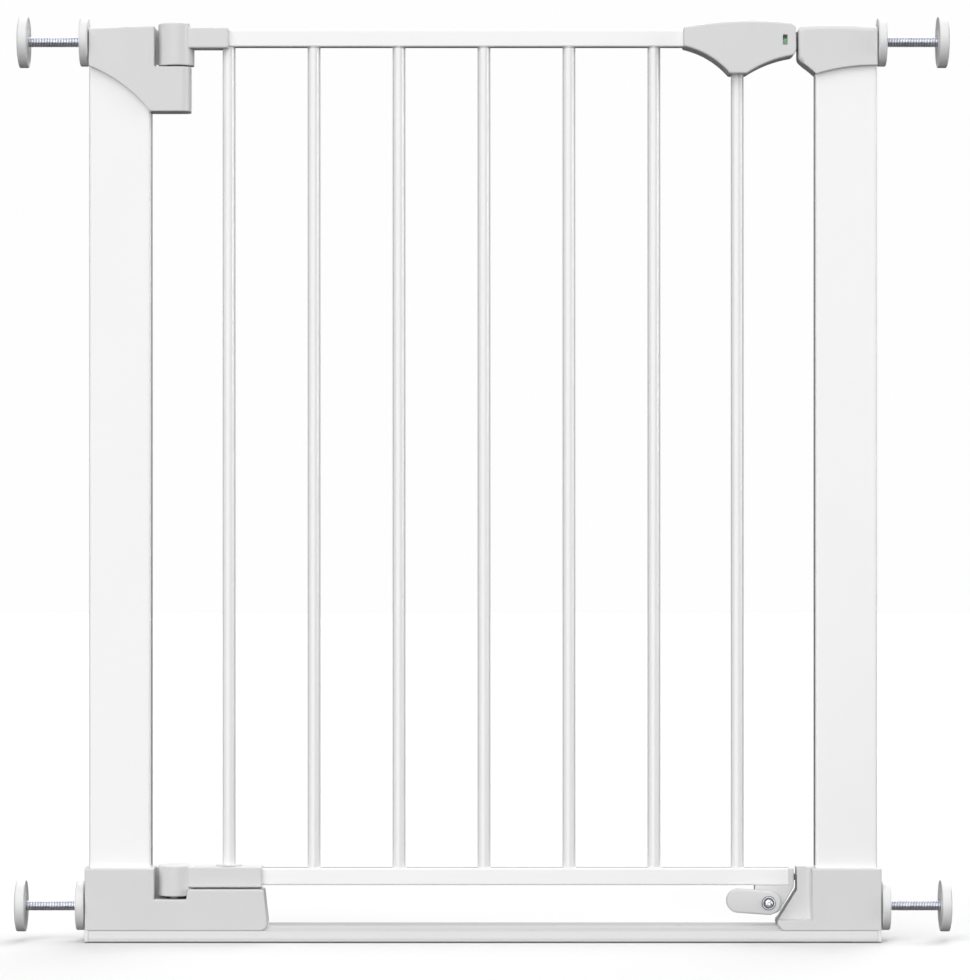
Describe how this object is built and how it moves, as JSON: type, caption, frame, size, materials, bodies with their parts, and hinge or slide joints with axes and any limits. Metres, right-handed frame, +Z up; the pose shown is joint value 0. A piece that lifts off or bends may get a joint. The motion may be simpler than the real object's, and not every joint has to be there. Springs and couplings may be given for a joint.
{
  "type": "safety baby gate",
  "caption": "Pressure-fit safety gate for a doorway: a steel U-frame with a barred gate that lifts, swings both ways and locks, and screw spindles with wall pads.",
  "frame": {"origin": "on the floor, under the middle of the threshold bar", "axes": "+X across the doorway towards the latch, +Y through the doorway away from the stop lever's side, +Z up"},
  "size_m": [0.7422, 0.0434, 0.7345],
  "materials": {
    "white_enamel": "gloss white powder coat",
    "threshold_enamel": "satin light grey powder coat",
    "grey_plastic": "satin moulded light grey plastic",
    "pad_plastic": "moulded light grey plastic",
    "pad_rubber": "matte grey rubber",
    "dark_plastic": "plain moulded plastic",
    "zinc_steel": "bright zinc plate",
    "dark_steel": "dark plated steel",
    "window_lens": "clear lens",
    "indicator_green": "green",
    "indicator_red": "red"
  },
  "bodies": {
    "frame": {"left_post": "white_enamel", "right_post": "white_enamel", "threshold_bar": "threshold_enamel", "threshold_end_caps": "grey_plastic", "floor_strip": "pad_rubber", "upper_hinge_bracket": "grey_plastic", "upper_latch_keeper": "grey_plastic", "lower_hinge_housing": "grey_plastic", "lower_latch_housing": "grey_plastic", "bracket_screws": "zinc_steel", "spindle_bushes": "dark_plastic"},
    "hinge_pins": {"upper_hinge_pin": "dark_steel", "lower_hinge_pin": "dark_steel"},
    "gate": {"upper_hinge_arm": "grey_plastic", "lower_hinge_arm": "grey_plastic", "bar_collar": "grey_plastic", "top_rail": "white_enamel", "bottom_rail": "white_enamel", "bar_1": "white_enamel", "bar_2": "white_enamel", "bar_3": "white_enamel", "bar_4": "white_enamel", "bar_5": "white_enamel", "bar_6": "white_enamel", "bar_7": "white_enamel", "handle_front_shell": "grey_plastic", "handle_rear_shell": "grey_plastic", "handle_screws": "zinc_steel", "lock_chassis": "dark_plastic", "indicator_window": "window_lens", "indicator_backing": "indicator_red", "return_spring": "zinc_steel", "lower_latch_cap": "grey_plastic", "lower_latch_tongue": "dark_steel", "lever_washer": "zinc_steel", "lever_screw": "zinc_steel"},
    "lock": {"thumb_slider": "grey_plastic", "lock_bolt": "dark_steel", "indicator_flag": "indicator_green"},
    "lever": {"stop_lever": "grey_plastic"},
    "spindle_top_left": {"spindle_rod_top_left": "zinc_steel", "pad_cup_top_left": "pad_plastic", "pad_rubber_top_left": "pad_rubber"},
    "wheel_top_left": {"hand_wheel_top_left": "pad_plastic", "wheel_nut_top_left": "zinc_steel"},
    "spindle_top_right": {"spindle_rod_top_right": "zinc_steel", "pad_cup_top_right": "pad_plastic", "pad_rubber_top_right": "pad_rubber"},
    "wheel_top_right": {"hand_wheel_top_right": "pad_plastic", "wheel_nut_top_right": "zinc_steel"},
    "spindle_bottom_left": {"spindle_rod_bottom_left": "zinc_steel", "pad_cup_bottom_left": "pad_plastic", "pad_rubber_bottom_left": "pad_rubber"},
    "wheel_bottom_left": {"hand_wheel_bottom_left": "pad_plastic", "wheel_nut_bottom_left": "zinc_steel"},
    "spindle_bottom_right": {"spindle_rod_bottom_right": "zinc_steel", "pad_cup_bottom_right": "pad_plastic", "pad_rubber_bottom_right": "pad_rubber"},
    "wheel_bottom_right": {"hand_wheel_bottom_right": "pad_plastic", "wheel_nut_bottom_right": "zinc_steel"}
  },
  "joints": [
    {"name": "gate_lift", "type": "slide", "parent": "frame", "child": "hinge_pins", "axis": [0, 0, 1], "range_m": [0, 0.012]},
    {"name": "gate_swing", "type": "hinge", "parent": "hinge_pins", "child": "gate", "pos_m": [-0.2438, 0, 0], "axis": [0, 0, 1], "range_deg": [-90, 90]},
    {"name": "lock_slide", "type": "slide", "parent": "gate", "child": "lock", "axis": [-1, 0, 0], "range_m": [0, 0.0099], "stiffness_N_per_m": 400, "springref_m": -0.006, "deforming": ["return_spring"]},
    {"name": "lever_turn", "type": "hinge", "parent": "gate", "child": "lever", "pos_m": [0.2261, -0.0112, 0.0309], "axis": [0, 1, 0], "range_deg": [0, 176]},
    {"name": "wheel_turn_top_left", "type": "hinge", "parent": "frame", "child": "wheel_top_left", "pos_m": [-0.318, 0, 0.714], "axis": [-1, 0, 0], "range_deg": [-1736, 7792]},
    {"name": "spindle_slide_top_left", "type": "slide", "parent": "frame", "child": "spindle_top_left", "axis": [-1, 0, 0], "range_m": [-0.006, 0.027]},
    {"name": "wheel_turn_top_right", "type": "hinge", "parent": "frame", "child": "wheel_top_right", "pos_m": [0.318, 0, 0.714], "axis": [1, 0, 0], "range_deg": [-1736, 7792]},
    {"name": "spindle_slide_top_right", "type": "slide", "parent": "frame", "child": "spindle_top_right", "axis": [1, 0, 0], "range_m": [-0.006, 0.027]},
    {"name": "wheel_turn_bottom_left", "type": "hinge", "parent": "frame", "child": "wheel_bottom_left", "pos_m": [-0.318, 0, 0.0277], "axis": [-1, 0, 0], "range_deg": [-1736, 7792]},
    {"name": "spindle_slide_bottom_left", "type": "slide", "parent": "frame", "child": "spindle_bottom_left", "axis": [-1, 0, 0], "range_m": [-0.006, 0.027]},
    {"name": "wheel_turn_bottom_right", "type": "hinge", "parent": "frame", "child": "wheel_bottom_right", "pos_m": [0.318, 0, 0.0277], "axis": [1, 0, 0], "range_deg": [-1736, 7792]},
    {"name": "spindle_slide_bottom_right", "type": "slide", "parent": "frame", "child": "spindle_bottom_right", "axis": [1, 0, 0], "range_m": [-0.006, 0.027]}
  ],
  "couplings": [
    {"joint": "wheel_turn_top_left", "follows": "spindle_slide_top_left", "rad_per_m": 5026.5},
    {"joint": "wheel_turn_top_right", "follows": "spindle_slide_top_right", "rad_per_m": 5026.5},
    {"joint": "wheel_turn_bottom_left", "follows": "spindle_slide_bottom_left", "rad_per_m": 5026.5},
    {"joint": "wheel_turn_bottom_right", "follows": "spindle_slide_bottom_right", "rad_per_m": 5026.5}
  ]
}
